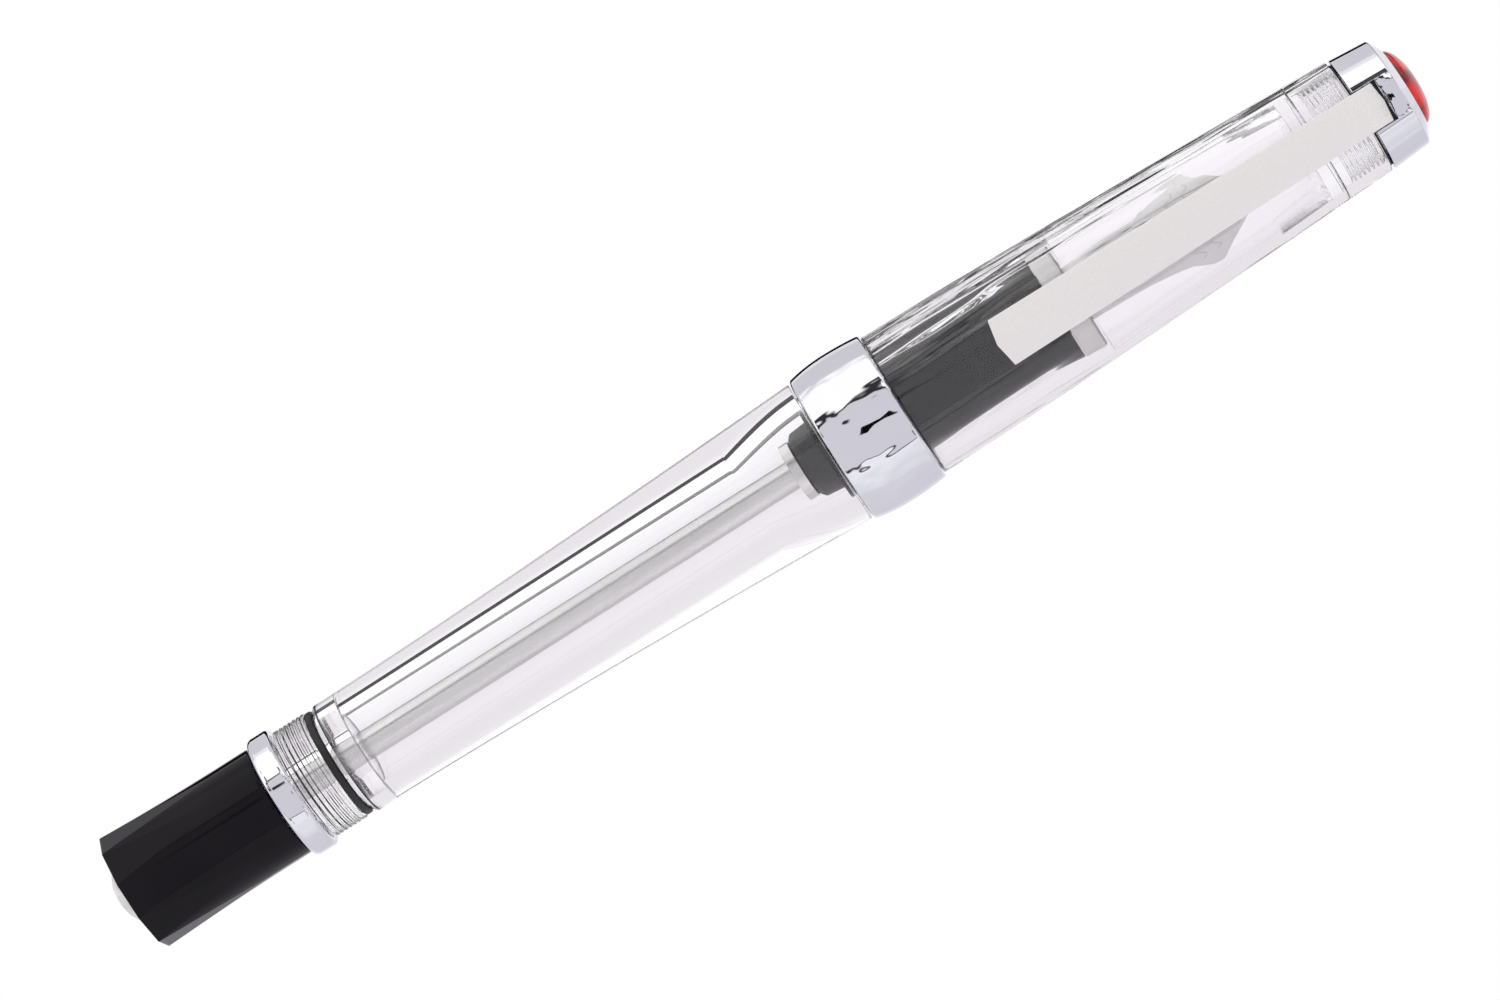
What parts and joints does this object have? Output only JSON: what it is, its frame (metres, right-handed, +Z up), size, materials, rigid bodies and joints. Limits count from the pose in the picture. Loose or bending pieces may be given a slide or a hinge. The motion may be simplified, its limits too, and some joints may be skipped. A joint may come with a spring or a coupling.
{
  "type": "fountain pen",
  "caption": "Capped clear fountain pen with a vacuum plunger filler, black faceted blind cap, black grip, chrome rings, pocket clip and domed red finial.",
  "frame": {"origin": "under the middle of the closed pen, on the surface that the cap band rests on", "axes": "+X along the pen towards the top of the cap, +Z up towards the pocket clip"},
  "size_m": [0.1442, 0.016, 0.0184],
  "materials": {
    "clear_plastic": "clear, polished",
    "black_plastic": "gloss black",
    "chrome": "mirror polished",
    "satin_steel": "bead blasted, fine grain",
    "steel": "turned and ground",
    "brass": "turned",
    "rubber": "moulded",
    "pearl": "pale silver pearl",
    "red_jewel": "deep translucent red, polished"
  },
  "bodies": {
    "barrel": {"barrel": "clear_plastic", "rear_gland": "clear_plastic", "gland_o_ring": "rubber", "gland_bush": "black_plastic", "rod_seal_rear": "rubber", "rod_seal_front": "rubber", "grip_section": "black_plastic", "section_o_ring": "rubber", "section_trim_ring": "satin_steel", "nib_collar": "black_plastic", "nib": "steel", "feed": "black_plastic"},
    "plunger": {"plunger_rod": "steel", "plunger_washer": "steel", "plunger_seal": "rubber", "plunger_tip_nut": "steel"},
    "blind_cap": {"blind_cap": "black_plastic", "blind_cap_ring": "chrome", "blind_cap_end_dome": "pearl", "rod_insert": "brass"},
    "cap_liner": {"inner_cap": "clear_plastic"},
    "cap": {"cap_body": "clear_plastic", "cap_band": "chrome", "finial_plug": "clear_plastic", "top_gasket": "rubber", "cap_top_ring": "chrome", "finial_jewel": "red_jewel"},
    "clip": {"clip": "satin_steel"}
  },
  "joints": [
    {"name": "plunger_pull", "type": "slide", "parent": "barrel", "child": "plunger", "axis": [-1, 0, 0], "range_m": [0, 0.047]},
    {"name": "blind_cap_turn", "type": "hinge", "parent": "plunger", "child": "blind_cap", "pos_m": [-0.06, 0, 0.008], "axis": [-1, 0, 0], "range_deg": [0, 720]},
    {"name": "cap_pull", "type": "slide", "parent": "barrel", "child": "cap_liner", "axis": [1, 0, 0], "range_m": [0, 0.055]},
    {"name": "cap_turn", "type": "hinge", "parent": "cap_liner", "child": "cap", "pos_m": [0.011, 0, 0.008], "axis": [1, 0, 0], "range_deg": [0, 540]},
    {"name": "clip_flex", "type": "hinge", "parent": "cap", "child": "clip", "pos_m": [0.0675, 0, 0.0132], "axis": [0, 1, 0], "range_deg": [0, 5], "stiffness_Nm_per_rad": 3.5}
  ]
}
